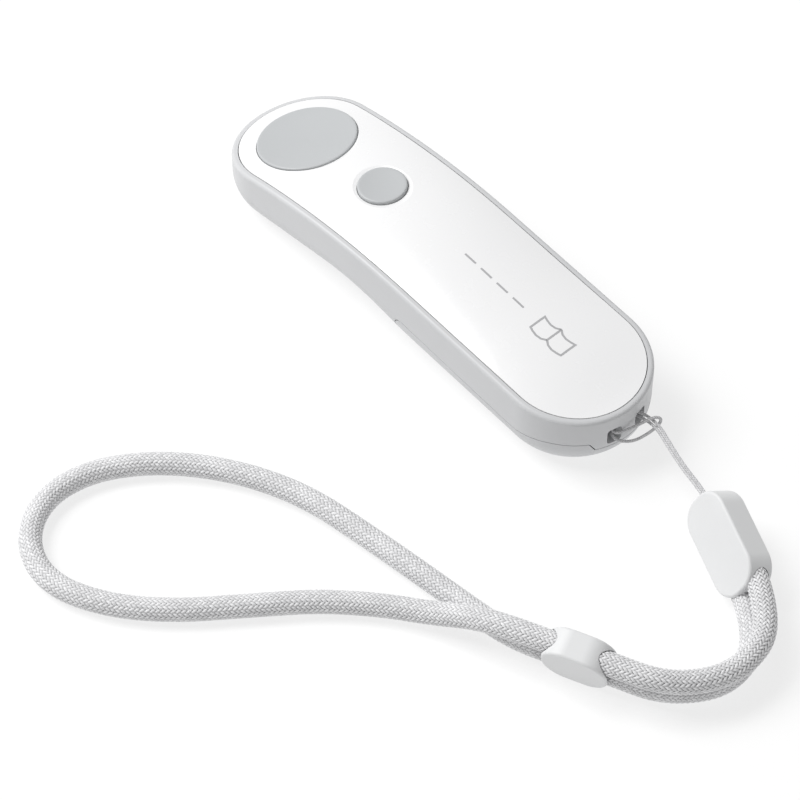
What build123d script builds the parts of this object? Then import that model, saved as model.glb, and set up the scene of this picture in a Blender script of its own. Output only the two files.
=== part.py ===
from build123d import *
import math
import os

# Handheld page-turner remote with a wrist lanyard. Millimetres, +Z up, origin on the resting
# surface under the middle of the handset, +X towards the lanyard end.

# Driving dimensions of the handset
LENGTH = 113.0
WIDTH = 32.0
RIM_WIDTH = 1.5
WALL = 1.4
BELLY_ROUND = 7.0
RIM_ROUND = 0.8
REACH = 62.0

# Side profile: a straight back over the battery, then one long arc down to the button end
BACK_SLOPE = 0.066
BACK_END_HEIGHT = 14.95
BACK_END_X = 55.0
ARC_START_X = 6.0
ARC_RADIUS = 155.0
BELLY_POINTS = [(REACH, 0.0), (44.0, 0.0), (6.0, 2.45), (-9.5, 4.9), (-42.0, 0.0), (-REACH, 0.0)]
BELLY_RADII = [60.0, 80.0, 60.0, 60.0]
BELLY_LIMIT = 8.0

# Face plate and its seat
PLATE = 1.35
ADHESIVE = 0.15
LEDGE = 1.2
LEDGE_WIDTH = 2.0
PLATE_GAP = 0.18
CROWN = 2.1
END_CROWN = 0.1
CROWN_FOOT = 4.0
CROWN_STATIONS = 9

# Keys: both travel along one axis, square to the circuit board
KEY_TILT = 10.0
BOARD_POINT = (-28.0, 0.0, 10.3)
LARGE_KEY_X = -40.5
LARGE_KEY_RADIUS = 10.85
LARGE_KEY_TILT = 15.0
LARGE_KEY_PROUD = -0.1
SMALL_KEY_X = -16.7
SMALL_KEY_RADIUS = 5.25
SMALL_KEY_TILT = 5.2
SMALL_KEY_PROUD = 0.25
KEY_GAP = 0.15
LARGE_KEY_DEPTH = 4.35
SMALL_KEY_DEPTH = 3.6
KEY_HOLLOW = 1.6
KEY_WALL = 1.2
KEY_EDGE = 0.35
KEY_RIM = 0.25
LARGE_BOWL = 0.5
SMALL_BOWL = 0.3
LARGE_STEM_RADIUS = 1.8
SMALL_STEM_RADIUS = 1.5
LARGE_DISH_WIDTH = 1.3
LARGE_DISH_DEPTH = 0.4
SMALL_DISH_WIDTH = 1.8
SMALL_DISH_DEPTH = 0.5
DISH_OVERCUT = 1.0
FLANGE_WIDTH = 0.9
FLANGE = 0.8
BOARD = 1.0

# Circuit board, in the keys' frame: a half round at the button end, square at the battery end
BOARD_RADIUS = 12.2
BOARD_ROUND_X = -12.4
BOARD_END_X = 29.0
BOARD_POSTS = ((-19.0, -6.0), (-19.0, 6.0), (22.5, -9.0), (22.5, 9.0))
POST_RADIUS = 1.7
BOARD_SCREW_RADIUS = 0.6
BOARD_SCREW_LENGTH = 2.8
SWITCH = 1.6
SWITCH_SIZE = 5.2
PLUNGER_TOP = 2.1
PLUNGER_LOW = 0.9
PLUNGER_RADIUS = 1.3
RADIO_X = 2.2

# Battery bay, in a frame that follows the sloping belly under the battery
TAIL_POINT = (44.0, 0.0, 0.0)
CELL_RADIUS = 5.25
CELL_HEIGHT = 6.95
CELL_NUB_X = -40.6
CELL_LENGTH = 44.5
NUB_LENGTH = 1.2
WRAP = 0.15
SPRING_SPACE = 2.4
CONTACT = 0.3
BAY_CLEARANCE = 0.3
TRAY_HALF_WIDTH = 6.9
TRAY_TOP = 13.6
SCREW_XS = (-34.0, -3.0)
SCREW_Y = 10.6
SCREW_RADIUS = 0.8
BOSS_RADIUS = 1.9
EAR_TOP = 9.0
EAR = 1.3
CONTACT_TOP = 11.0
STRIP_LOW = 10.0
STRIP_HIGH = 11.8
TAB_TOP = 12.9

# Battery cover
PARTING = [(4.7, -6.0), (4.7, 10.0), (40.0, 7.0), (49.0, 8.3), (REACH, 8.3), (REACH, -6.0)]
PARTING_RADII = [2.0, 30.0, 30.0]
COVER_GAP = 0.16
LIP_HEIGHT = 1.2
LIP_GAP = 0.15
LIP = 0.8
LIP_REACH = 2.0
LIP_START_X = 9.0
LIP_END_X = 46.0
TONGUE_TOP_HALF = 8.4
TONGUE_HALF = 7.2
TONGUE_LOW = 6.3
TONGUE_BACK_X = 52.2

# Lanyard bar at the end of the housing
HOLE_Y = 3.5
HOLE_Z = 9.1
HOLE_WIDTH = 3.2
HOLE_HEIGHT = 4.2
BAR_BACK_X = 54.8
POCKET_BACK_X = 53.1

# Lanyard
ROPE_RADIUS = 2.4
ROPE_SPACING = 5.0
BEND_SPACING = 5.3
CORD_RADIUS = 0.33
CLIP_WIDTH = 11.5
CLIP_DEPTH = 6.1
CLIP_CORNER = 5.0
CLIP_EDGE = 0.6
CONNECTOR_LENGTH = 21.8
CONNECTOR_CENTRE = (88.9, -4.43, 7.15)
CONNECTOR_HEADING = -21.2
CONNECTOR_DIVE = 7.3
CONNECTOR_LEAN = 28.5
ROPE_SOCKET = 3.0
SOCKET_CLEARANCE = 0.05
CORD_BORE = 6.0
BEAD_LENGTH = 13.5
BEAD_CENTRE = (88.0, -43.8, 6.35)
BEAD_HEADING = 23.8
BEAD_LEAN = 14.0
BORE_CLEARANCE = 0.15

# Wrist rope: middle line of the two strands between connector and bead, with the lean of the pair
PAIR_ROUTE = [
    (107.8, -15.1, 5.5, 24.0), (109.6, -21.4, 5.0, 16.0),
    (109.0, -27.5, 5.0, 14.0), (105.5, -33.5, 5.3, 16.0),
]
STRAIGHT_FRONT = 14.8
STRAIGHT_BACK = -13.5
CONNECTOR_EXIT = 1.2

# Wrist rope: the open loop, from the upper strand behind the bead round to the lower strand
LOOP_ROUTE = [
    (68.5, -52.5, 7.0), (60.5, -56.5, 3.6), (52.5, -61.5, 2.5), (43.5, -70.0, 2.5), (35.5, -80.5, 2.5),
    (26.5, -92.5, 2.5), (16.5, -101.5, 2.5), (5.0, -106.5, 2.5), (-5.5, -103.5, 2.5), (-11.5, -94.5, 2.5),
    (-10.5, -83.0, 2.5), (-3.0, -71.5, 2.5), (8.5, -62.0, 2.5), (22.5, -55.5, 2.5), (38.0, -53.0, 2.5),
    (53.0, -51.0, 2.5), (66.0, -49.5, 2.6),
]

# Hitch cord: one tail, twice round the bar and once round both tails, then the other tail
CORD_ROUTE = [
    (81.0, -0.85, 8.0), (76.5, 0.75, 7.95), (70.4, 1.85, 8.15), (64.6, 3.4, 8.85), (60.4, 4.65, 9.4),
    (56.4, 4.25, 9.75), (54.3, 2.9, 9.8), (53.9, -0.1, 9.7), (54.3, -3.0, 9.7), (56.1, -3.5, 9.5),
    (57.3, -0.9, 9.75), (58.0, 2.0, 10.0), (58.8, 4.7, 10.5), (59.6, 6.1, 9.6), (59.8, 5.3, 8.35),
    (59.6, 2.6, 7.7), (58.8, -1.0, 7.3), (56.6, -3.5, 7.7), (54.3, -3.1, 8.4), (53.9, 0.1, 8.3),
    (54.3, 3.1, 8.4), (56.3, 3.7, 8.9), (60.2, 3.9, 9.25), (64.4, 2.7, 8.75), (70.2, 1.15, 8.1),
    (76.3, 0.05, 7.9), (80.8, -1.55, 8.0),
]

HALF_WIDTH = WIDTH / 2
CROWN_END = LENGTH / 2 + 0.5
END_CENTRE_X = LENGTH / 2 - HALF_WIDTH
PLATE_RADIUS = HALF_WIDTH - RIM_WIDTH
SEAT = PLATE + ADHESIVE
ARC_START_HEIGHT = BACK_END_HEIGHT + BACK_SLOPE * (BACK_END_X - ARC_START_X)
ARC_ANGLE = math.atan(BACK_SLOPE)
TAIL_TILT = math.degrees(math.atan(BELLY_POINTS[2][1] / (BELLY_POINTS[1][0] - BELLY_POINTS[2][0])))
TAIL = Location(TAIL_POINT, (0, TAIL_TILT, 0))
KEYS = Location(BOARD_POINT, (0, -KEY_TILT, 0))


def face_height(x):
    """Height of the face plate's edge at x."""
    if x > ARC_START_X:
        return BACK_END_HEIGHT + BACK_SLOPE * (BACK_END_X - x)
    centre_x = ARC_START_X - ARC_RADIUS * math.sin(ARC_ANGLE)
    centre_z = ARC_START_HEIGHT - ARC_RADIUS * math.cos(ARC_ANGLE)
    return centre_z + math.sqrt(ARC_RADIUS**2 - (x - centre_x) ** 2)


def crown_height(x):
    """How far the face's middle stands above its edges at x. It dies out towards both ends."""
    return END_CROWN + (CROWN - END_CROWN) * (1 - (x / CROWN_END) ** 2)


def top_curve(shift):
    """The face's side profile as edges, from the lanyard end to the button end."""
    middle_x = (ARC_START_X - REACH) / 2
    start = (REACH, 0, face_height(REACH) + shift)
    joint = (ARC_START_X, 0, face_height(ARC_START_X) + shift)
    middle = (middle_x, 0, face_height(middle_x) + shift)
    end = (-REACH, 0, face_height(-REACH) + shift)
    return [Line(start, joint), ThreePointArc(joint, middle, end)]


def slab(low, high):
    """Everything between two copies of the face's side profile."""
    lower = top_curve(low)
    upper = top_curve(high)
    ends = [Line(lower[0] @ 0, upper[0] @ 0), Line(lower[1] @ 1, upper[1] @ 1)]
    return extrude(Face(Wire([*lower, *upper, *ends])), amount=WIDTH, both=True)


def pill(radius):
    """Upright prism with the handset's plan outline at the given end radius."""
    return extrude(SlotCenterToCenter(2 * END_CENTRE_X, 2 * radius), amount=40)


def hull(inset, top_shift):
    """The handset's closed outer form, or that form taken in by a wall."""
    belly_points = [(x, 0, z + inset) for x, z in BELLY_POINTS]
    belly = FilletPolyline(*belly_points, radius=BELLY_RADII)
    top = top_curve(top_shift)
    ends = [Line(belly @ 0, top[0] @ 0), Line(belly @ 1, top[1] @ 1)]
    side = Face(Wire([*belly.edges(), *top, *ends]))
    body = extrude(side, amount=WIDTH, both=True) & pill(HALF_WIDTH - inset)
    belly_edges = [edge for edge in body.edges() if edge.bounding_box().max.Z < BELLY_LIMIT]
    return fillet(belly_edges, BELLY_ROUND - inset)


def box_between(low, high):
    """Box from its lowest to its highest corner."""
    size = [high[axis] - low[axis] for axis in range(3)]
    middle = [(high[axis] + low[axis]) / 2 for axis in range(3)]
    return Pos(*middle) * Box(*size)


def upright(x, y, radius, low, high):
    """Cylinder along Z between two heights."""
    return Pos(x, y, (low + high) / 2) * Cylinder(radius, high - low)


def along_x(radius, start, end, z):
    """Cylinder along X between two stations."""
    return Pos((start + end) / 2, 0, z) * Rot(0, 90, 0) * Cylinder(radius, end - start)


def key_place(x, proud):
    """The centre of a key's top in the board's frame: its place along the board and its height."""
    tilt = math.radians(KEY_TILT)
    across = x - BOARD_POINT[0]
    up = face_height(x) + crown_height(x) + proud - BOARD_POINT[2]
    along = across * math.cos(tilt) + up * math.sin(tilt)
    return along, up * math.cos(tilt) - across * math.sin(tilt)


LARGE_X, LARGE_TOP = key_place(LARGE_KEY_X, LARGE_KEY_PROUD)
SMALL_X, SMALL_TOP = key_place(SMALL_KEY_X, SMALL_KEY_PROUD)


# Battery cover and housing

def cover_zone(gap):
    """The part of the hull that the battery cover takes, drawn in by half the parting gap."""
    outline = [(PARTING[0][0] + gap, PARTING[0][1]), (PARTING[1][0] + gap, PARTING[1][1] - gap)]
    outline += [(x, z - gap) for x, z in PARTING[2:5]] + [PARTING[5]]
    top = FilletPolyline(*[(x, 0, z) for x, z in outline], radius=[*PARTING_RADII, 0.1])
    zone = extrude(Face(Wire([*top.edges(), Line(top @ 0, top @ 1)])), amount=WIDTH, both=True)
    tongue = [
        (-TONGUE_TOP_HALF - gap, PARTING[4][1] + 1),
        (-TONGUE_TOP_HALF - gap, PARTING[4][1]),
        (-TONGUE_HALF - gap, TONGUE_LOW - gap),
        (TONGUE_HALF + gap, TONGUE_LOW - gap),
        (TONGUE_TOP_HALF + gap, PARTING[4][1]),
        (TONGUE_TOP_HALF + gap, PARTING[4][1] + 1),
    ]
    section = Face(Wire.make_polygon([(TONGUE_BACK_X, y, z) for y, z in tongue]))
    return zone - extrude(section, amount=12, dir=(1, 0, 0))


def make_battery_cover():
    """Belly of the battery bay, with a locating lip that stands inside the housing wall."""
    shell = (hull(0, 0) - hull(WALL, -SEAT)) & cover_zone(COVER_GAP)
    lip_outer = WALL + LIP_GAP
    lip_inner = hull(lip_outer + LIP, -SEAT)
    raised = Pos(0, 0, LIP_HEIGHT) * cover_zone(COVER_GAP)
    lip = ((hull(lip_outer, -SEAT) - lip_inner) & raised) - cover_zone(COVER_GAP + LIP_REACH)
    root = (hull(WALL - 0.2, -SEAT) - lip_inner) & cover_zone(COVER_GAP + 0.4)
    root -= cover_zone(COVER_GAP + LIP_REACH)
    span = box_between((LIP_START_X, -HALF_WIDTH, 0), (LIP_END_X, HALF_WIDTH, TRAY_TOP))
    return shell + (lip & span) + (root & span)


def lanyard_block():
    """Solid block behind the end wall, with the two holes and the passage behind the bar."""
    low = (TONGUE_BACK_X + 0.2, -HOLE_Y - 2.7, TONGUE_LOW)
    high = (LENGTH / 2, HOLE_Y + 2.7, HOLE_Z + 2.8)
    return box_between(low, high) & hull(0.5, -SEAT)


def lanyard_holes():
    """Two rounded holes joined by a passage, which leaves the bar between them."""
    profile = RectangleRounded(HOLE_WIDTH, HOLE_HEIGHT, 0.8)
    length = LENGTH / 2 - POCKET_BACK_X + 1
    cut = box_between(
        (POCKET_BACK_X, -HOLE_Y - HOLE_WIDTH / 2, HOLE_Z - HOLE_HEIGHT / 2),
        (BAR_BACK_X, HOLE_Y + HOLE_WIDTH / 2, HOLE_Z + HOLE_HEIGHT / 2),
    )
    for side in (-1, 1):
        plane = Plane(origin=(POCKET_BACK_X, side * HOLE_Y, HOLE_Z), x_dir=(0, 1, 0), z_dir=(1, 0, 0))
        cut += extrude(plane * profile, amount=length)
    return cut


def screw_bosses():
    """Four posts under the ledge that take the battery tray's screws."""
    bosses = []
    for x in SCREW_XS:
        for side in (-1, 1):
            low_y, high_y = sorted((side * SCREW_Y, side * (HALF_WIDTH - WALL + 0.3)))
            post = upright(x, side * SCREW_Y, BOSS_RADIUS, EAR_TOP, TRAY_TOP)
            web = box_between((x - 0.7, low_y, EAR_TOP + 0.8), (x + 0.7, high_y, TRAY_TOP))
            hole = upright(x, side * SCREW_Y, SCREW_RADIUS, EAR_TOP, EAR_TOP + 3)
            bosses.append(TAIL * (post + web - hole))
    return bosses


def board_posts():
    """Four posts that rise from the belly and carry the circuit board."""
    inside = hull(WALL - 0.3, -SEAT)
    return [(KEYS * upright(x, y, POST_RADIUS, -20, -BOARD)) & inside for x, y in BOARD_POSTS]


def make_housing():
    """Tub with the side band, the rim, the ledge for the face plate and the lanyard bar."""
    outer = hull(0, 0)
    rim_edges = [edge for edge in outer.edges() if edge.bounding_box().min.Z > BELLY_LIMIT]
    body = fillet(rim_edges, RIM_ROUND)
    body -= pill(PLATE_RADIUS + PLATE_GAP) & slab(-SEAT, 20)
    body -= pill(PLATE_RADIUS - LEDGE_WIDTH) & slab(-SEAT - LEDGE, 20)
    body -= hull(WALL, -SEAT - LEDGE)
    for boss in screw_bosses():
        body += boss & slab(-20, -SEAT)
    for post in board_posts():
        body += post
    body -= cover_zone(0)
    body += lanyard_block() - cover_zone(0)
    body -= lanyard_holes()
    for x, y in BOARD_POSTS:
        body -= KEYS * upright(x, y, BOARD_SCREW_RADIUS, -BOARD - 3, -BOARD)
    return body


# Face plate and keys

def crown_section(x, drop):
    """Section of the crowned face at x: a shallow arc over a deep foot."""
    rise = crown_height(x)
    radius = (PLATE_RADIUS**2 + rise**2) / (2 * rise)
    edge = rise - radius + math.sqrt(radius**2 - HALF_WIDTH**2)
    level = face_height(x) - drop
    low = level - CROWN_FOOT
    arc = ThreePointArc((x, -HALF_WIDTH, level + edge), (x, 0, level + rise), (x, HALF_WIDTH, level + edge))
    foot = Polyline(arc @ 1, (x, HALF_WIDTH, low), (x, -HALF_WIDTH, low), arc @ 0)
    return Face(Wire([*arc.edges(), *foot.edges()]))


def crowned_body(drop):
    """Long body whose top is the domed face, lowered by drop."""
    step = 2 * CROWN_END / (CROWN_STATIONS - 1)
    stations = [-CROWN_END + index * step for index in range(CROWN_STATIONS)]
    return loft([crown_section(x, drop) for x in stations])


def dish(x, proud, radius, slope, width, depth):
    """Shallow cone that sinks the face round a key opening."""
    place = Location((x, 0, face_height(x) + crown_height(x) + proud), (0, -slope, 0))
    inner = radius + KEY_GAP - DISH_OVERCUT
    fall = depth * (width + DISH_OVERCUT) / width
    return place * Cone(inner, inner + 2 * (width + DISH_OVERCUT), 2 * fall)


def make_face_plate():
    """Domed plate with a thick rim and the two key openings, each in a shallow dish."""
    top = crowned_body(0) & pill(PLATE_RADIUS)
    rim = (top & slab(-PLATE, 20)) - pill(PLATE_RADIUS - LEDGE_WIDTH)
    plate = (top - crowned_body(PLATE)) + rim
    large = (LARGE_KEY_RADIUS, LARGE_KEY_TILT, LARGE_DISH_WIDTH, LARGE_DISH_DEPTH)
    small = (SMALL_KEY_RADIUS, SMALL_KEY_TILT, SMALL_DISH_WIDTH, SMALL_DISH_DEPTH)
    plate -= dish(LARGE_KEY_X, LARGE_KEY_PROUD, *large)
    plate -= dish(SMALL_KEY_X, 0, *small)
    plate -= KEYS * upright(LARGE_X, 0, LARGE_KEY_RADIUS + KEY_GAP, 0, 12)
    plate -= KEYS * upright(SMALL_X, 0, SMALL_KEY_RADIUS + KEY_GAP, 0, 12)
    return plate


def make_key(x, top, radius, tilt, depth, stem_radius, bowl):
    """Round key with a hollowed top, a flange under the face plate and a stem down to its switch."""
    skirt = top - depth
    place = Location((x, 0, top), (0, KEY_TILT - tilt, 0))
    body = upright(x, 0, radius, skirt, top + 3)
    body -= place * Pos(0, 0, 5) * Box(40, 40, 10)
    body = fillet(body.edges().filter_by(GeomType.ELLIPSE), KEY_EDGE)
    rim = radius - KEY_EDGE - KEY_RIM
    bowl_radius = (rim**2 + bowl**2) / (2 * bowl)
    body -= place * Pos(0, 0, bowl_radius - bowl) * Sphere(bowl_radius)
    body += upright(x, 0, radius + FLANGE_WIDTH, skirt, skirt + FLANGE)
    body -= upright(x, 0, radius - KEY_WALL, skirt, skirt + KEY_HOLLOW)
    body += upright(x, 0, stem_radius, PLUNGER_TOP, skirt + KEY_HOLLOW)
    return KEYS * body


# Circuit board and what sits on it

def make_circuit_board():
    """Board outline: a half round at the button end, square at the battery end."""
    length = BOARD_END_X - BOARD_ROUND_X
    square = Pos(BOARD_ROUND_X + length / 2, 0) * Rectangle(length, 2 * BOARD_RADIUS)
    board = extrude(Pos(BOARD_ROUND_X, 0) * Circle(BOARD_RADIUS) + square, amount=-BOARD)
    for x, y in BOARD_POSTS:
        board -= upright(x, y, 0.9, -2, 1)
    return KEYS * board


def make_board_screws():
    """Four small pan screws that hold the board on its posts."""
    screws = []
    for x, y in BOARD_POSTS:
        head = upright(x, y, 1.5, 0, 0.7)
        slot = Pos(x, y, 0.6) * (Box(1.8, 0.35, 0.3) + Box(0.35, 1.8, 0.3))
        shank = upright(x, y, BOARD_SCREW_RADIUS, -BOARD - BOARD_SCREW_LENGTH, 0)
        screws.append(KEYS * (head - slot + shank))
    return Compound(screws)


def make_switch(x):
    """Tact switch body with a bore for its plunger and four solder feet."""
    body = Pos(x, 0, SWITCH / 2) * Box(SWITCH_SIZE, SWITCH_SIZE, SWITCH)
    body = fillet(body.edges().filter_by(Axis.Z), 0.5)
    body -= upright(x, 0, PLUNGER_RADIUS + 0.1, 0.3, SWITCH)
    for side_x in (-1, 1):
        for side_y in (-1, 1):
            body += Pos(x + side_x * 1.6, side_y * (SWITCH_SIZE / 2 + 0.4), 0.1) * Box(0.8, 1.0, 0.2)
    return KEYS * body


def make_plunger(x):
    """Moving plunger of a tact switch."""
    plunger = upright(x, 0, PLUNGER_RADIUS, PLUNGER_LOW, PLUNGER_TOP)
    return KEYS * chamfer(plunger.edges().group_by(Axis.Z)[-1], 0.15)


def make_radio_chip():
    """Square radio chip between the two switches."""
    chip = Pos(RADIO_X, 0, 0.45) * Box(5, 5, 0.9)
    return KEYS * chamfer(chip.faces().sort_by(Axis.Z)[-1].edges(), 0.12)


def make_crystal():
    """Metal-lidded crystal beside the radio chip."""
    crystal = Pos(RADIO_X, 5.6, 0.4) * Box(3.2, 2.5, 0.8)
    return KEYS * fillet(crystal.faces().sort_by(Axis.Z)[-1].edges(), 0.2)


def make_chip_antenna():
    """Ceramic chip antenna at the button end of the board."""
    return KEYS * (Pos(-22.0, 0, 0.55) * Box(2.0, 7.0, 1.1))


def make_power_inductor():
    """Coil of the voltage converter, under the board."""
    coil = Pos(14, -5, -BOARD - 0.8) * Box(4, 4, 1.6)
    return KEYS * chamfer(coil.edges().filter_by(Axis.Z), 0.5)


def make_small_chip_parts():
    """Rows of small capacitors and resistors."""
    places = [(RADIO_X + step * 1.6, -4.6) for step in range(-2, 3)]
    places += [(6.8, step * 1.5) for step in range(-1, 2)]
    places += [(17.5, step * 2.0) for step in range(-3, 4)]
    return Compound([KEYS * (Pos(x, y, 0.25) * Box(1.0, 0.55, 0.5)) for x, y in places])


# Battery bay

CELL_END_X = CELL_NUB_X + CELL_LENGTH
PLATE_X = CELL_END_X + SPRING_SPACE
TRAY_FRONT_X = CELL_NUB_X - CONTACT


def make_battery_tray():
    """Trough over the cell, open downwards, with ears for the screws."""
    start = TRAY_FRONT_X - 1.0
    end = PLATE_X + CONTACT + 0.5
    tray = box_between((start, -TRAY_HALF_WIDTH, 3.0), (end, TRAY_HALF_WIDTH, TRAY_TOP))
    tray = fillet(tray.edges().filter_by(Axis.X).group_by(Axis.Z)[-1], 2.2)
    bore = CELL_RADIUS + BAY_CLEARANCE
    tray -= along_x(bore, TRAY_FRONT_X, PLATE_X + CONTACT, CELL_HEIGHT)
    tray -= box_between((TRAY_FRONT_X, -bore, 2), (PLATE_X + CONTACT, bore, CELL_HEIGHT))
    tray -= box_between((start - 1, -1.8, 11.9), (TRAY_FRONT_X + 0.5, 1.8, TRAY_TOP + 1))
    tray -= box_between((PLATE_X, 0, STRIP_LOW), (PLATE_X + CONTACT, 8, STRIP_HIGH))
    tray &= TAIL.inverse() * pill(PLATE_RADIUS - LEDGE_WIDTH - 0.3)
    for x in SCREW_XS:
        for side in (-1, 1):
            low_y, high_y = sorted((side * (TRAY_HALF_WIDTH - 0.5), side * (SCREW_Y + BOSS_RADIUS)))
            tray += box_between((x - 2.2, low_y, EAR_TOP - EAR), (x + 2.2, high_y, EAR_TOP))
            tray -= upright(x, side * SCREW_Y, 0.95, EAR_TOP - 2, EAR_TOP)
    return TAIL * tray


def make_tray_screws():
    """Four small pan screws, driven from below with the cover off."""
    screws = []
    for x in SCREW_XS:
        for side in (-1, 1):
            y = side * SCREW_Y
            head = upright(x, y, 2 * SCREW_RADIUS, EAR_TOP - EAR - 0.8, EAR_TOP - EAR)
            slot = Pos(x, y, EAR_TOP - 2.0) * (Box(2.0, 0.4, 0.5) + Box(0.4, 2.0, 0.5))
            shank = upright(x, y, SCREW_RADIUS, EAR_TOP - EAR, EAR_TOP + 2.8)
            screws.append(TAIL * (head - slot + shank))
    return Compound(screws)


def make_cell_can():
    """Steel can of an AAA cell with its positive nub."""
    shoulder = CELL_NUB_X + NUB_LENGTH
    can = along_x(CELL_RADIUS - WRAP, shoulder, CELL_END_X, CELL_HEIGHT)
    nub = along_x(1.9, CELL_NUB_X, shoulder, CELL_HEIGHT)
    return TAIL * (can + fillet(nub.edges().group_by(Axis.X)[0], 0.3))


def make_cell_wrap():
    """Printed sleeve round the can."""
    start = CELL_NUB_X + NUB_LENGTH
    sleeve = along_x(CELL_RADIUS, start, CELL_END_X, CELL_HEIGHT)
    return TAIL * (sleeve - along_x(CELL_RADIUS - WRAP, start, CELL_END_X, CELL_HEIGHT))


def make_spring_contact():
    """Coil spring that pushes on the flat end of the cell."""
    wire_radius = 0.25
    turns = 2.5
    height = SPRING_SPACE - 2 * wire_radius
    path = Helix(pitch=height / turns, height=height, radius=3.0)
    coil = sweep(Plane(path @ 0, z_dir=path % 0) * Circle(wire_radius), path=path, is_frenet=True)
    return TAIL * (Pos(CELL_END_X + wire_radius, 0, CELL_HEIGHT) * Rot(0, 90, 0) * coil)


def make_spring_plate():
    """Plate that carries the spring, with a leg out to the contact strip."""
    disc = along_x(CELL_RADIUS + BAY_CLEARANCE - 0.1, PLATE_X, PLATE_X + CONTACT, CELL_HEIGHT)
    top = STRIP_HIGH - 0.1
    plate = disc & box_between((PLATE_X, -8, 3.2), (PLATE_X + CONTACT, 8, top))
    leg = box_between((PLATE_X, 2, STRIP_LOW), (PLATE_X + CONTACT, TRAY_HALF_WIDTH + CONTACT, top))
    return TAIL * (plate + leg)


def make_button_contact():
    """Positive contact: a plate in front of the nub with a tab bent over onto the board."""
    plate = box_between((TRAY_FRONT_X, -3.6, 3.4), (CELL_NUB_X, 3.6, CONTACT_TOP))
    riser = box_between((TRAY_FRONT_X, -1.5, CONTACT_TOP), (CELL_NUB_X, 1.5, TAB_TOP))
    tab = box_between((TRAY_FRONT_X - 3.2, -1.5, TAB_TOP - CONTACT), (TRAY_FRONT_X, 1.5, TAB_TOP))
    return TAIL * (plate + riser + tab)


def make_contact_strip():
    """Strip along the outside of the tray, from the spring plate to the board."""
    outer = TRAY_HALF_WIDTH + CONTACT
    front = TRAY_FRONT_X - 1.8
    strip = box_between((front, TRAY_HALF_WIDTH, STRIP_LOW), (PLATE_X, outer, STRIP_HIGH))
    riser = box_between((front - CONTACT, TRAY_HALF_WIDTH, STRIP_LOW), (front, outer, TAB_TOP))
    tab = box_between((front - 1.6, TRAY_HALF_WIDTH - 1.6, TAB_TOP - CONTACT), (front, outer, TAB_TOP))
    return TAIL * (strip + riser + tab)


def make_face_adhesive():
    """Adhesive ring between the ledge and the face plate."""
    return (pill(PLATE_RADIUS - 0.1) - pill(PLATE_RADIUS - LEDGE_WIDTH + 0.2)) & slab(-SEAT, -PLATE)


# Lanyard

def clip_frame(centre, heading, dive, lean):
    """Frame of a lanyard clip: X along the rope, Y from the lower strand to the upper one."""
    along = Vector(1, 0, 0).rotate(Axis.Y, dive).rotate(Axis.Z, heading)
    across = lean_vector(along, lean)
    return Plane(origin=centre, x_dir=along, z_dir=along.cross(across))


def lean_vector(along, lean):
    """Unit vector from the lower strand to the upper one, leaning to the left of the way ahead."""
    left = Vector(-along.Y, along.X, 0).normalized()
    return left * math.sin(math.radians(lean)) + along.cross(left) * math.cos(math.radians(lean))


def clip_strand(frame, along, side):
    """Point on a strand's axis inside a clip."""
    return frame.from_local_coords(Vector(along, side * ROPE_SPACING / 2, 0))


CONNECTOR = clip_frame(CONNECTOR_CENTRE, CONNECTOR_HEADING, CONNECTOR_DIVE, CONNECTOR_LEAN)
BEAD = clip_frame(BEAD_CENTRE, BEAD_HEADING + 180, 0, BEAD_LEAN)


def pair_strand(side):
    """One strand's corners, from its socket in the connector to the end of the bead's straight."""
    end = CONNECTOR_LENGTH / 2
    outside = end + CONNECTOR_EXIT
    corners = [clip_strand(CONNECTOR, end - ROPE_SOCKET, side), clip_strand(CONNECTOR, outside, side)]
    exit_point = CONNECTOR.from_local_coords(Vector(outside, 0, 0))
    entry_point = BEAD.from_local_coords(Vector(-STRAIGHT_FRONT, 0, 0))
    middles = [exit_point, *[Vector(x, y, z) for x, y, z, lean in PAIR_ROUTE], entry_point]
    for index, (x, y, z, lean) in enumerate(PAIR_ROUTE):
        here = Vector(x, y, 0)
        before = here - Vector(middles[index].X, middles[index].Y, 0)
        after = Vector(middles[index + 2].X, middles[index + 2].Y, 0) - here
        ahead = (before.normalized() + after.normalized()).normalized()
        corners.append(Vector(x, y, z) + lean_vector(ahead, lean) * (side * BEND_SPACING / 2))
    corners.append(clip_strand(BEAD, -STRAIGHT_FRONT, side))
    corners.append(clip_strand(BEAD, -STRAIGHT_BACK, side))
    return corners


def rope_route():
    """Corners of the whole rope: upper strand, loop, lower strand."""
    loop = [Vector(*point) for point in LOOP_ROUTE]
    return [*pair_strand(1), *loop, *reversed(pair_strand(-1))]


def clip_body(length):
    """Rounded clip body: broad rounded outline, softened edges."""
    outline = RectangleRounded(length, CLIP_WIDTH, CLIP_CORNER)
    body = extrude(outline, amount=CLIP_DEPTH / 2, both=True)
    broad = body.faces().filter_by(Axis.Z)
    return fillet([edge for face in broad for edge in face.edges()], CLIP_EDGE)


def make_cord_connector():
    """Moulded connector: two rope sockets at one end, the hitch cord's slot at the other."""
    body = clip_body(CONNECTOR_LENGTH)
    end = CONNECTOR_LENGTH / 2
    for side in (-1, 1):
        socket = Rot(0, 90, 0) * Cylinder(ROPE_RADIUS + SOCKET_CLEARANCE, 2 * ROPE_SOCKET)
        body -= Pos(end, side * ROPE_SPACING / 2, 0) * socket
    connector = CONNECTOR.location * body
    for start, following in ((CORD_ROUTE[0], CORD_ROUTE[1]), (CORD_ROUTE[-1], CORD_ROUTE[-2])):
        line = Vector(*following) - Vector(*start)
        bore = Plane(origin=start, z_dir=line) * Circle(CORD_RADIUS + SOCKET_CLEARANCE)
        connector -= extrude(bore, amount=CORD_BORE)
    return connector


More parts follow.
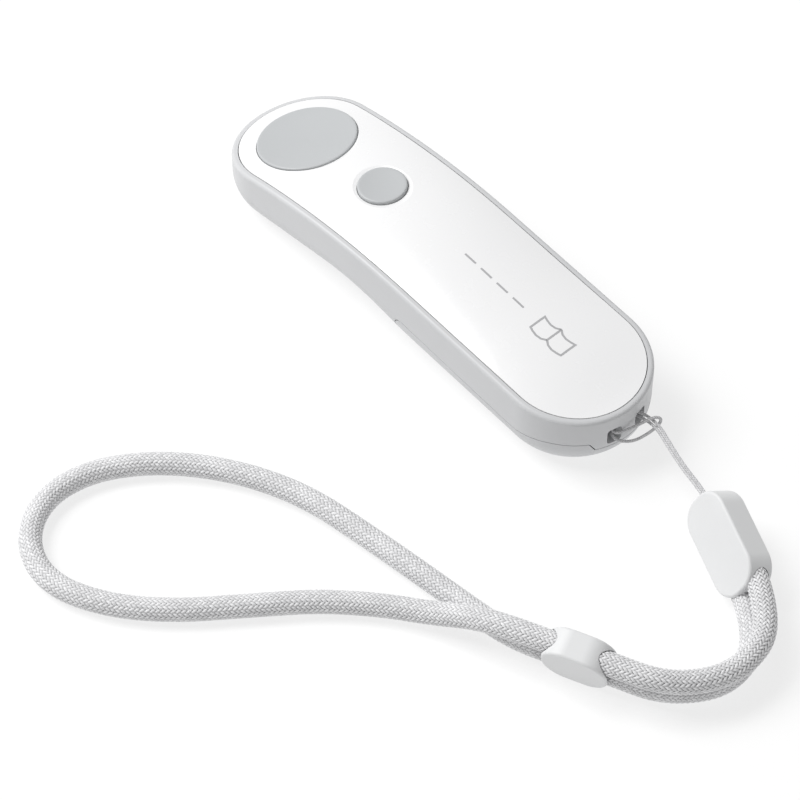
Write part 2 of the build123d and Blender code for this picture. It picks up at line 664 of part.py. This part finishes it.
def make_slide_bead():
    """Bead with one long bore that both strands run through."""
    body = clip_body(BEAD_LENGTH)
    clearance = 2 * BORE_CLEARANCE
    bore = SlotCenterToCenter(ROPE_SPACING, 2 * ROPE_RADIUS + clearance, rotation=90)
    plane = Plane(origin=(-BEAD_LENGTH, 0, 0), x_dir=(0, 0, 1), z_dir=(1, 0, 0))
    body -= extrude(plane * bore, amount=2 * BEAD_LENGTH)
    return BEAD.location * body


def corner_radii(route):
    """Largest arc that each corner of a route has room for."""
    points = [Vector(point) for point in route]
    radii = []
    for before, corner, after in zip(points, points[1:], points[2:]):
        shorter = min((corner - before).length, (after - corner).length)
        turn = math.radians((corner - before).get_angle(after - corner))
        radii.append(0.45 * shorter / math.tan(turn / 2))
    return radii


def tube(route, radius, name):
    """Cord or rope along a route of straight runs joined by tangent arcs."""
    radii = corner_radii(route)
    path = FilletPolyline(*route, radius=radii)
    section = Plane(path @ 0, z_dir=path % 0) * Circle(radius)
    solid = sweep(section, path=path)
    expected = math.pi * radius**2 * path.length
    print(name, "length", round(path.length, 1), "volume ratio", round(solid.volume / expected, 4))
    print(name, "radii in diameters", [round(value / (2 * radius), 1) for value in radii])
    return solid


def write_parts():
    """Write each sub-part to its own file."""
    large = (LARGE_KEY_RADIUS, LARGE_KEY_TILT, LARGE_KEY_DEPTH, LARGE_STEM_RADIUS, LARGE_BOWL)
    small = (SMALL_KEY_RADIUS, SMALL_KEY_TILT, SMALL_KEY_DEPTH, SMALL_STEM_RADIUS, SMALL_BOWL)
    nodes = {
        "housing": make_housing(),
        "face_plate": make_face_plate(),
        "face_adhesive": make_face_adhesive(),
        "large_button": make_key(LARGE_X, LARGE_TOP, *large),
        "small_button": make_key(SMALL_X, SMALL_TOP, *small),
        "large_plunger": make_plunger(LARGE_X),
        "small_plunger": make_plunger(SMALL_X),
        "large_switch": make_switch(LARGE_X),
        "small_switch": make_switch(SMALL_X),
        "circuit_board": make_circuit_board(),
        "board_screws": make_board_screws(),
        "radio_chip": make_radio_chip(),
        "crystal": make_crystal(),
        "chip_antenna": make_chip_antenna(),
        "power_inductor": make_power_inductor(),
        "small_chip_parts": make_small_chip_parts(),
        "battery_tray": make_battery_tray(),
        "tray_screws": make_tray_screws(),
        "cell_can": make_cell_can(),
        "cell_wrap": make_cell_wrap(),
        "spring_contact": make_spring_contact(),
        "spring_plate": make_spring_plate(),
        "button_contact": make_button_contact(),
        "contact_strip": make_contact_strip(),
        "battery_cover": make_battery_cover(),
        "cord_connector": make_cord_connector(),
        "slide_bead": make_slide_bead(),
        "wrist_rope": tube(rope_route(), ROPE_RADIUS, "wrist_rope"),
        "hitch_cord": tube(CORD_ROUTE, CORD_RADIUS, "hitch_cord"),
    }
    os.makedirs("parts", exist_ok=True)
    for name, shape in nodes.items():
        export_step(shape, f"parts/{name}.step")
        print(name, "solids", len(shape.solids()), "volume", round(shape.volume, 1))


write_parts()
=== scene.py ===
import math

import bmesh
import bpy
import numpy as np
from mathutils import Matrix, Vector
from mathutils.bvhtree import BVHTree


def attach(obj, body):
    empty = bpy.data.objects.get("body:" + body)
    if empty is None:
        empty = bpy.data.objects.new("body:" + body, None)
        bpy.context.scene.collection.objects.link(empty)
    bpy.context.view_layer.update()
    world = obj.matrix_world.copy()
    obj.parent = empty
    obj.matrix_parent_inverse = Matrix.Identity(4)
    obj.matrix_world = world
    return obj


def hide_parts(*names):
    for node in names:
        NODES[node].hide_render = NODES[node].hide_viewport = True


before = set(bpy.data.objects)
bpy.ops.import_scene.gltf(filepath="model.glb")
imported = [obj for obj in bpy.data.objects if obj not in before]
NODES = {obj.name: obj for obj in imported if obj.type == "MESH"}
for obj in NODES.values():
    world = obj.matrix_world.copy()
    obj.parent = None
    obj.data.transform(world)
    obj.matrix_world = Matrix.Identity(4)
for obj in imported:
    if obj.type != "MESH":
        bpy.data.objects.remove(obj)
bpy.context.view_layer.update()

# Camera

CAMERA_AT = Vector((0.3147, -0.2932, 0.5137))
LOOK_AT = Vector((0.01695, -0.02533, 0.0018))
LENS = 144.66
SENSOR_WIDTH = 36
CLIP_END = 20

# Cords: each route holds the control points of a smooth line

ROPE_DIAMETER = 0.0048
ROPE_YARNS = 20
ROPE_PITCH = 0.00098
ROPE_RELIEF = 0.00036
ROPE_ROUTE = [
    (0.09690, -0.00625, 0.00833), (0.10078, -0.00776, 0.00779), (0.10870, -0.01451, 0.00792),
    (0.11033, -0.02133, 0.00755), (0.10961, -0.02770, 0.00757), (0.10609, -0.03393, 0.00785),
    (0.10179, -0.03838, 0.00878), (0.09612, -0.04088, 0.00878), (0.08312, -0.04661, 0.00878),
    (0.07589, -0.04980, 0.00878), (0.06850, -0.05250, 0.00700), (0.06050, -0.05650, 0.00360),
    (0.05250, -0.06150, 0.00250), (0.04350, -0.07000, 0.00250), (0.03550, -0.08050, 0.00250),
    (0.02650, -0.09250, 0.00250), (0.01650, -0.10150, 0.00250), (0.00500, -0.10650, 0.00250),
    (-0.00550, -0.10350, 0.00250), (-0.01150, -0.09450, 0.00250), (-0.01050, -0.08300, 0.00250),
    (-0.00300, -0.07150, 0.00250), (0.00850, -0.06200, 0.00250), (0.02250, -0.05550, 0.00250),
    (0.03800, -0.05300, 0.00250), (0.05300, -0.05100, 0.00250), (0.06600, -0.04950, 0.00260),
    (0.07540, -0.04869, 0.00392), (0.08409, -0.04486, 0.00392), (0.09608, -0.03957, 0.00392),
    (0.10130, -0.03727, 0.00392), (0.10491, -0.03307, 0.00275), (0.10839, -0.02730, 0.00243),
    (0.10887, -0.02147, 0.00245), (0.10690, -0.01569, 0.00308), (0.09940, -0.00978, 0.00343),
    (0.09551, -0.00827, 0.00397),
]
CORD_DIAMETER = 0.00066
CORD_YARNS = 4
CORD_PITCH = 0.0005
CORD_RELIEF = 0.00008
CORD_ROUTE = [
    (0.08100, -0.00085, 0.00800), (0.07650, 0.00075, 0.00795), (0.07040, 0.00185, 0.00815),
    (0.06460, 0.00340, 0.00885), (0.06040, 0.00465, 0.00940), (0.05640, 0.00425, 0.00975),
    (0.05430, 0.00290, 0.00980), (0.05390, -0.00010, 0.00970), (0.05430, -0.00300, 0.00970),
    (0.05610, -0.00350, 0.00950), (0.05730, -0.00090, 0.00975), (0.05800, 0.00200, 0.01000),
    (0.05880, 0.00470, 0.01050), (0.05960, 0.00610, 0.00960), (0.05980, 0.00530, 0.00835),
    (0.05960, 0.00260, 0.00770), (0.05880, -0.00100, 0.00730), (0.05660, -0.00350, 0.00770),
    (0.05430, -0.00310, 0.00840), (0.05390, 0.00010, 0.00830), (0.05430, 0.00310, 0.00840),
    (0.05630, 0.00370, 0.00890), (0.06020, 0.00390, 0.00925), (0.06440, 0.00270, 0.00875),
    (0.07020, 0.00115, 0.00810), (0.07630, 0.00005, 0.00790), (0.08080, -0.00155, 0.00800),
]
SPLINE_STEPS = 24
YARN_SAMPLES = 6
WEAVE_RISE = 0.45
YARN_ROUND = 0.75
SHADE_SEED = 7

# Mark on the face: a plain open book and a row of bars

MARK_LINE = 0.00045
MARK_STEP = 0.0005
MARK_RISE = 0.00002
MARK_DEPTH = 0.00006
LEAST_MITRE = 0.5
ABOVE_FACE = 0.05
BOOK_X = 0.0345
BOOK_PAGE = [
    (0.0, -0.0018), (0.0010, -0.0025), (0.0022, -0.0027), (0.0034, -0.0025), (0.0044, -0.0022),
    (0.0044, 0.0018), (0.0034, 0.0015), (0.0022, 0.0013), (0.0010, 0.0015), (0.0, 0.0022),
]
BOOK_SPINE = [(0.0, 0.0022), (0.0, -0.0018)]
BAR_START_X = 0.0085
BAR_LENGTH = 0.0032
BAR_PITCH = 0.0047
BAR_COUNT = 4
BAR_Y = 0.0

# Materials: linear colours, sizes in metres

USUAL_DRIFT = 0.025
DRIFT_SCALE = 60
GLOSS_SCALE = 180
GLOSS_SPREAD = 0.04
WAVE_SCALE = 35
COAT_ROUGH = 0.12
# nodes, colour, roughness, grain size, grain depth, then any coat weight and colour drift
PLASTICS = {
    "shell_white": (["housing", "battery_cover"], (0.585, 0.59, 0.60), 0.42, 0.00022, 0.00002),
    "face_white": (["face_plate"], (0.85, 0.85, 0.855), 0.26, 0.0012, 0.000002, 0.5, 0.006),
    "key_grey": (["large_button", "small_button"], (0.475, 0.488, 0.497), 0.45, 0.00018, 0.00002),
    "clip_white": (["cord_connector", "slide_bead"], (0.72, 0.725, 0.73), 0.5, 0.00025, 0.00002),
    "tray_white": (["battery_tray"], (0.62, 0.63, 0.64), 0.5, 0.0003, 0.00003),
    "adhesive": (["face_adhesive"], (0.55, 0.55, 0.52), 0.6, 0.0004, 0.00003),
    "plunger": (["large_plunger", "small_plunger"], (0.02, 0.02, 0.022), 0.4, 0.0003, 0.00001),
    "chip_epoxy": (["radio_chip"], (0.015, 0.015, 0.017), 0.55, 0.0001, 0.00001),
    "ferrite": (["power_inductor"], (0.05, 0.05, 0.055), 0.6, 0.0002, 0.00002),
    "antenna": (["chip_antenna"], (0.70, 0.68, 0.60), 0.5, 0.0002, 0.00001),
    "chip_tan": (["small_chip_parts"], (0.32, 0.22, 0.13), 0.45, 0.0001, 0.00001),
    "sleeve": (["cell_wrap"], (0.03, 0.07, 0.16), 0.25, 0.0008, 0.000008, 0.5),
}
MARK_LOOK = ((0.42, 0.42, 0.43), 0.4, 0.0002, 0.000004)
SCRATCH_DEPTH = 0.00001
# nodes, colour, roughness
METALS = {
    "nickel_can": (["cell_can", "crystal"], (0.72, 0.71, 0.68), 0.28),
    "switch_cover": (["large_switch", "small_switch"], (0.74, 0.74, 0.75), 0.35),
    "zinc": (["board_screws", "tray_screws"], (0.60, 0.61, 0.63), 0.32),
    "contact": (
        ["spring_contact", "spring_plate", "button_contact", "contact_strip"], (0.78, 0.76, 0.71), 0.25,
    ),
}
# yarn at its darkest and lightest, then the painted shade in the gaps between yarns
ROPE_COLOURS_AND_GAP_SHADE = ((0.52, 0.52, 0.53), (0.84, 0.84, 0.85), (0.15, 0.15, 0.155))
CORD_COLOURS_AND_GAP_SHADE = ((0.46, 0.46, 0.47), (0.70, 0.70, 0.71), (0.22, 0.22, 0.23))
FIBRE_SCALE = 5000
FIBRE_DEPTH = 0.00006
# depth levels over which the painted gap shade fades into the yarn colour
GAP_SHADE_FULL_LEVEL = 0.30
GAP_SHADE_END_LEVEL = 0.80
BOARD_COLOURS = ((0.012, 0.12, 0.05), (0.02, 0.20, 0.09))
TRACK_SCALE = 900.0
TRACK_DEPTH = 0.00003
WHITE = (1, 1, 1, 1)

# Floor and light

FLOOR_HALF = 3.0
FLOOR_COLOURS = ((0.29, 0.29, 0.29), (0.31, 0.31, 0.31))
FLOOR_GLOW = 0.69
WORLD_STRENGTH = 0.45
# name, place, target, size, watts
SOFTBOXES = [
    ("key", (-0.58, -0.36, 0.84), (0.03, -0.03, 0), 0.6, 9.5),
    ("sheen", (-0.42, -0.05, 0.95), (0.0, 0.0, 0), 0.3, 1.2),
]


def add_object(name, data):
    """New object in the scene."""
    made = bpy.data.objects.new(name, data)
    bpy.context.scene.collection.objects.link(made)
    return made


def aim(place, target):
    """Rotation of a camera or light at a place that faces a target."""
    return (Vector(target) - Vector(place)).to_track_quat("-Z", "Y").to_euler()


def make_camera():
    """Camera at the photograph's viewing angle."""
    camera = add_object("camera", bpy.data.cameras.new("camera"))
    camera.data.lens = LENS
    camera.data.sensor_width = SENSOR_WIDTH
    camera.data.clip_end = CLIP_END
    camera.location = CAMERA_AT
    camera.rotation_euler = aim(CAMERA_AT, LOOK_AT)
    bpy.context.scene.camera = camera


# Braided cords

def smooth_line(name, route):
    """Points along the NURBS spline that has the route as its control points."""
    curve = bpy.data.curves.new(name, "CURVE")
    curve.dimensions = "3D"
    spline = curve.splines.new("NURBS")
    spline.points.add(len(route) - 1)
    for point, place in zip(spline.points, route):
        point.co = (*place, 1)
    spline.order_u = 3
    spline.use_endpoint_u = True
    spline.resolution_u = SPLINE_STEPS
    holder = add_object(name, curve)
    bpy.context.view_layer.update()
    mesh = bpy.data.meshes.new_from_object(holder)
    points = np.array([vertex.co for vertex in mesh.vertices], float)
    bpy.data.objects.remove(holder)
    bpy.data.meshes.remove(mesh)
    return points


def resample(points, step):
    """The same line with evenly spaced points, and how far along it each one is."""
    along = np.concatenate([[0], np.cumsum(np.linalg.norm(np.diff(points, axis=0), axis=1))])
    count = int(along[-1] / step) + 1
    stations = np.linspace(0, along[-1], count)
    return np.stack([np.interp(stations, along, points[:, axis]) for axis in range(3)], axis=1), stations


def carried_frames(line):
    """Two unit vectors across the line at each point, carried along without twist."""
    tangents = np.gradient(line, axis=0)
    tangents /= np.linalg.norm(tangents, axis=1)[:, None]
    side = np.cross(tangents[0], (0, 0, 1))
    sides = []
    for tangent in tangents:
        side = side - tangent * side.dot(tangent)
        side = side / np.linalg.norm(side)
        sides.append(side)
    sides = np.array(sides)
    return sides, np.cross(tangents, sides)


def braid_height(around, along, yarns, pitch):
    """Height and yarn number of a two-over, two-under tubular braid. around is in turns, along in metres."""
    a = along[:, None] / pitch + around[None, :] * yarns
    b = along[:, None] / pitch - around[None, :] * yarns
    number_a = np.floor(a)
    number_b = np.floor(b)
    over_a = np.cos(math.pi * (b - number_a) / 2)
    over_b = np.cos(math.pi * (a - number_b - 3) / 2)
    round_a = np.sqrt(np.clip(1 - (2 * (a - number_a) - 1) ** 2, 0, 1))
    round_b = np.sqrt(np.clip(1 - (2 * (b - number_b) - 1) ** 2, 0, 1))
    height_a = WEAVE_RISE * over_a + YARN_ROUND * round_a
    height_b = WEAVE_RISE * over_b + YARN_ROUND * round_b
    height = np.maximum(height_a, height_b)
    yarn = np.where(height_a > height_b, np.mod(number_a, yarns), yarns + np.mod(number_b, yarns))
    return height, yarn


def tube_mesh(name, places):
    """Smooth quad mesh over rows of ring points."""
    rows, columns, _ = places.shape
    index = np.arange(rows * columns).reshape(rows, columns)
    following = np.roll(index, -1, axis=1)
    faces = np.stack([index[:-1], following[:-1], following[1:], index[1:]], axis=-1).reshape(-1, 4)
    mesh = bpy.data.meshes.new(name)
    mesh.vertices.add(rows * columns)
    mesh.vertices.foreach_set("co", places.reshape(-1))
    mesh.loops.add(faces.size)
    mesh.loops.foreach_set("vertex_index", faces.reshape(-1))
    mesh.polygons.add(len(faces))
    mesh.polygons.foreach_set("loop_start", np.arange(0, faces.size, 4))
    mesh.polygons.foreach_set("use_smooth", np.ones(len(faces), bool))
    mesh.update(calc_edges=True)
    return mesh


def make_braid(name, route, diameter, yarns, pitch, relief):
    """Braided tube whose surface follows every yarn of the braid."""
    line, stations = resample(smooth_line(name + "_line", route), pitch / YARN_SAMPLES)
    sides, ups = carried_frames(line)
    columns = yarns * YARN_SAMPLES
    around = np.arange(columns) / columns
    height, yarn = braid_height(around, stations, yarns, pitch)
    low, high = height.min(), height.max()
    level = (height - low) / (high - low)
    radius = diameter / 2 - relief * (1 - level)
    angle = 2 * math.pi * around
    ring = sides[:, None, :] * np.cos(angle)[None, :, None] + ups[:, None, :] * np.sin(angle)[None, :, None]
    mesh = tube_mesh(name, line[:, None, :] + ring * radius[:, :, None])
    shades = np.random.default_rng(SHADE_SEED).uniform(0, 1, 2 * yarns)
    # depth is the height level, which also masks the painted gap shade; shade is a random tint for each yarn
    for label, values in (("depth", level), ("shade", shades[yarn.astype(int)])):
        attribute = mesh.attributes.new(label, "FLOAT", "POINT")
        attribute.data.foreach_set("value", values.reshape(-1).astype(np.float32))
    return add_object(name, mesh), line


# Materials

class Nodes:
    """Small helper that adds and links shader nodes."""

    def __init__(self, name):
        self.material = bpy.data.materials.new(name)
        self.material.use_nodes = True
        self.tree = self.material.node_tree
        self.shader = self.tree.nodes["Principled BSDF"]

    def add(self, kind, inputs=None, **settings):
        """New node. An input that is another node's output is linked, anything else is set."""
        node = self.tree.nodes.new(kind)
        for key, value in settings.items():
            setattr(node, key, value)
        for key, value in (inputs or {}).items():
            if isinstance(value, bpy.types.NodeSocket):
                self.tree.links.new(value, node.inputs[key])
            else:
                node.inputs[key].default_value = value
        return node

    def set(self, **values):
        """Uniform values on the shader's own sockets."""
        for key, value in values.items():
            self.shader.inputs[key.replace("_", " ")].default_value = value

    def link(self, output, socket):
        self.tree.links.new(output, self.shader.inputs[socket])

    def place(self):
        return self.add("ShaderNodeTexCoord").outputs["Object"]

    def noise(self, scale, detail, roughness=0.5):
        inputs = {"Vector": self.place(), "Scale": scale, "Detail": detail, "Roughness": roughness}
        return self.add("ShaderNodeTexNoise", inputs).outputs["Fac"]

    def ramp(self, factor, low, high, start=0.3, end=0.7):
        node = self.add("ShaderNodeValToRGB", {"Fac": factor})
        node.color_ramp.elements[0].position = start
        node.color_ramp.elements[1].position = end
        node.color_ramp.elements[0].color = (*low, 1)
        node.color_ramp.elements[1].color = (*high, 1)
        return node.outputs["Color"]

    def mix(self, factor, first, second):
        """Colour mix. Its colour sockets have no names of their own, only these numbers."""
        return self.add("ShaderNodeMix", {0: factor, 6: first, 7: second}, data_type="RGBA").outputs[2]

    def spread(self, factor, low, high):
        inputs = {"Value": factor, "From Min": 0.25, "From Max": 0.75, "To Min": low, "To Max": high}
        return self.add("ShaderNodeMapRange", inputs).outputs["Result"]

    def bump(self, height, distance, strength, normal=None):
        inputs = {"Height": height, "Distance": distance, "Strength": strength}
        if normal is not None:
            inputs["Normal"] = normal
        return self.add("ShaderNodeBump", inputs).outputs["Normal"]


def moulded_plastic(name, colour, rough, grain_size, grain_depth, coat=0.0, drift=USUAL_DRIFT):
    """Moulded plastic: fine surface grain, slow colour drift and uneven gloss."""
    nodes = Nodes(name)
    darker = tuple(channel * (1 - drift) for channel in colour)
    nodes.link(nodes.ramp(nodes.noise(DRIFT_SCALE, 4), darker, colour), "Base Color")
    gloss = nodes.noise(GLOSS_SCALE, 5, 0.6)
    nodes.link(nodes.spread(gloss, rough - GLOSS_SPREAD, rough + GLOSS_SPREAD), "Roughness")
    grain = nodes.bump(nodes.noise(1 / grain_size, 2, 0.6), grain_depth, 0.5)
    waves = nodes.bump(nodes.noise(WAVE_SCALE, 1), grain_depth * 2, 0.25, grain)
    nodes.link(waves, "Normal")
    nodes.set(IOR=1.5, Coat_Weight=coat, Coat_Roughness=COAT_ROUGH)
    return nodes.material


def rough_metal(name, colour, rough):
    """Plated or drawn metal with fine scratches."""
    nodes = Nodes(name)
    tint = tuple(channel * 0.85 for channel in colour)
    nodes.link(nodes.ramp(nodes.noise(700, 4), tint, colour), "Base Color")
    nodes.link(nodes.spread(nodes.noise(900, 5), rough - 0.08, rough + 0.08), "Roughness")
    nodes.link(nodes.bump(nodes.noise(2500, 2), SCRATCH_DEPTH, 0.4), "Normal")
    nodes.set(Metallic=1.0)
    return nodes.material


def braid_yarn(name, dark, light, gap_shade):
    """Braid yarn: yarn colour on the crowns, painted shade darkening the gaps between yarns, a small tint of
    its own for each yarn and fine filaments.
    """
    nodes = Nodes(name)
    shade = nodes.add("ShaderNodeAttribute", attribute_name="shade").outputs["Fac"]
    depth = nodes.add("ShaderNodeAttribute", attribute_name="depth").outputs["Fac"]
    fibre = nodes.noise(FIBRE_SCALE, 3, 0.7)
    mottled = nodes.mix(fibre, nodes.ramp(shade, dark, light, 0.0, 1.0), (*light, 1))
    # painted shade: the gap colour darkens the low parts of the braid between yarns
    inputs = {"Value": depth, "From Min": GAP_SHADE_FULL_LEVEL, "From Max": GAP_SHADE_END_LEVEL}
    crown_vs_gap_shade = nodes.add("ShaderNodeMapRange", inputs).outputs["Result"]
    nodes.link(nodes.mix(crown_vs_gap_shade, (*gap_shade, 1), mottled), "Base Color")
    nodes.link(nodes.bump(fibre, FIBRE_DEPTH, 0.6), "Normal")
    nodes.set(Roughness=0.62, Sheen_Weight=0.25, Sheen_Roughness=0.4, IOR=1.45)
    return nodes.material


def board_mask(name):
    """Green board: solder mask with faint tracks under it."""
    nodes = Nodes(name)
    inputs = {"Vector": nodes.place(), "Scale": TRACK_SCALE}
    cells = nodes.add("ShaderNodeTexVoronoi", inputs, distance="MANHATTAN", feature="F1").outputs["Distance"]
    nodes.link(nodes.ramp(cells, *BOARD_COLOURS, 0.2, 0.35), "Base Color")
    nodes.link(nodes.bump(cells, TRACK_DEPTH, 0.4), "Normal")
    nodes.set(Roughness=0.3, Coat_Weight=0.4)
    return nodes.material


def paint(names, material):
    """Give CAD nodes a material."""
    for name in names:
        mesh = NODES[name].data
        mesh.materials.clear()
        mesh.materials.append(material)


def paint_nodes():
    """Every CAD node that no braid replaces gets its material."""
    for name, (nodes, *look) in PLASTICS.items():
        paint(nodes, moulded_plastic(name, *look))
    paint(["circuit_board"], board_mask("board"))
    for name, (nodes, *look) in METALS.items():
        paint(nodes, rough_metal(name, *look))


# Mark on the face

def mark_strokes():
    """Middle lines of the mark: two mirrored pages, the spine and the bars."""
    strokes = [[(BOOK_X + side * x, y) for x, y in BOOK_PAGE] for side in (1, -1)]
    strokes.append([(BOOK_X + x, y) for x, y in BOOK_SPINE])
    for index in range(BAR_COUNT):
        start = BAR_START_X + index * BAR_PITCH
        strokes.append([(start, BAR_Y), (start + BAR_LENGTH, BAR_Y)])
    return strokes


def fine_points(corners):
    """Points along straight runs, close enough to follow the dome."""
    points = [Vector(corners[0])]
    for start, end in zip(corners, corners[1:]):
        run = Vector(end) - Vector(start)
        steps = max(1, round(run.length / MARK_STEP))
        points.extend(Vector(start) + run * (index + 1) / steps for index in range(steps))
    return points


def stroke_sides(points):
    """Left and right edge points of a flat band with mitred corners."""
    sides = []
    for index, point in enumerate(points):
        before = (point - points[max(index - 1, 0)]).normalized()
        after = (points[min(index + 1, len(points) - 1)] - point).normalized()
        ahead = (before + after).normalized()
        stretch = 1 / max(ahead.dot(after), ahead.dot(before), LEAST_MITRE)
        across = Vector((-ahead.y, ahead.x)) * stretch * MARK_LINE / 2
        sides.append((point + across, point - across))
    return sides


def add_stroke(build, corners, face_tree):
    """Closed thin band on the face, through the corners."""
    rows = []
    for left, right in stroke_sides(fine_points(corners)):
        row = []
        for place, lift in ((left, MARK_RISE), (right, MARK_RISE), (right, -MARK_DEPTH), (left, -MARK_DEPTH)):
            above = Vector((place.x, place.y, ABOVE_FACE))
            hit = face_tree.ray_cast(above, Vector((0, 0, -1)))[0]
            row.append(build.verts.new(hit + Vector((0, 0, lift))))
        rows.append(row)
    for near, far in zip(rows, rows[1:]):
        for index in range(4):
            following = (index + 1) % 4
            build.faces.new((near[index], near[following], far[following], far[index]))
    build.faces.new(rows[0][::-1])
    build.faces.new(rows[-1])


def make_face_mark(material):
    """Thin print that follows the domed face."""
    face_tree = BVHTree.FromObject(NODES["face_plate"], bpy.context.evaluated_depsgraph_get())
    build = bmesh.new()
    for corners in mark_strokes():
        add_stroke(build, corners, face_tree)
    bmesh.ops.recalc_face_normals(build, faces=build.faces)
    mesh = bpy.data.meshes.new("face_mark")
    build.to_mesh(mesh)
    build.free()
    mark = add_object("face_mark", mesh)
    mesh.materials.append(material)
    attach(mark, "root")


# Floor and light

def make_floor():
    """Plain pale floor that gives off some light of its own."""
    mesh = bpy.data.meshes.new("floor")
    corners = [(x * FLOOR_HALF, y * FLOOR_HALF, 0) for x, y in ((-1, -1), (1, -1), (1, 1), (-1, 1))]
    mesh.from_pydata(corners, [], [(0, 1, 2, 3)])
    floor = add_object("floor", mesh)
    nodes = Nodes("floor_paper")
    nodes.link(nodes.ramp(nodes.noise(8, 2), *FLOOR_COLOURS), "Base Color")
    nodes.set(Roughness=0.9, Specular_IOR_Level=0.1, Emission_Color=WHITE, Emission_Strength=FLOOR_GLOW)
    mesh.materials.append(nodes.material)


def add_softbox(name, place, target, size, watts):
    """Square area light that faces a point."""
    light = bpy.data.lights.new(name, "AREA")
    light.shape = "SQUARE"
    light.size = size
    light.energy = watts
    box = add_object(name, light)
    box.location = place
    box.rotation_euler = aim(place, target)


def make_world():
    """Even white surroundings."""
    world = bpy.data.worlds.new("studio")
    world.use_nodes = True
    background = world.node_tree.nodes["Background"]
    background.inputs["Color"].default_value = WHITE
    background.inputs["Strength"].default_value = WORLD_STRENGTH
    bpy.context.scene.world = world


make_camera()
rope, rope_line = make_braid("rope_braid", ROPE_ROUTE, ROPE_DIAMETER, ROPE_YARNS, ROPE_PITCH, ROPE_RELIEF)
cord, cord_line = make_braid("cord_braid", CORD_ROUTE, CORD_DIAMETER, CORD_YARNS, CORD_PITCH, CORD_RELIEF)
rope.data.materials.append(braid_yarn("rope_yarn", *ROPE_COLOURS_AND_GAP_SHADE))
cord.data.materials.append(braid_yarn("cord_yarn", *CORD_COLOURS_AND_GAP_SHADE))
for piece, node, slot in ((rope, "wrist_rope", "rope_braid"), (cord, "hitch_cord", "thin_braid")):
    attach(piece, "root")
    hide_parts(node)
paint_nodes()
make_face_mark(moulded_plastic("mark_grey", *MARK_LOOK))
make_floor()
make_world()
for softbox in SOFTBOXES:
    add_softbox(*softbox)
bpy.context.scene.view_settings.view_transform = "Standard"
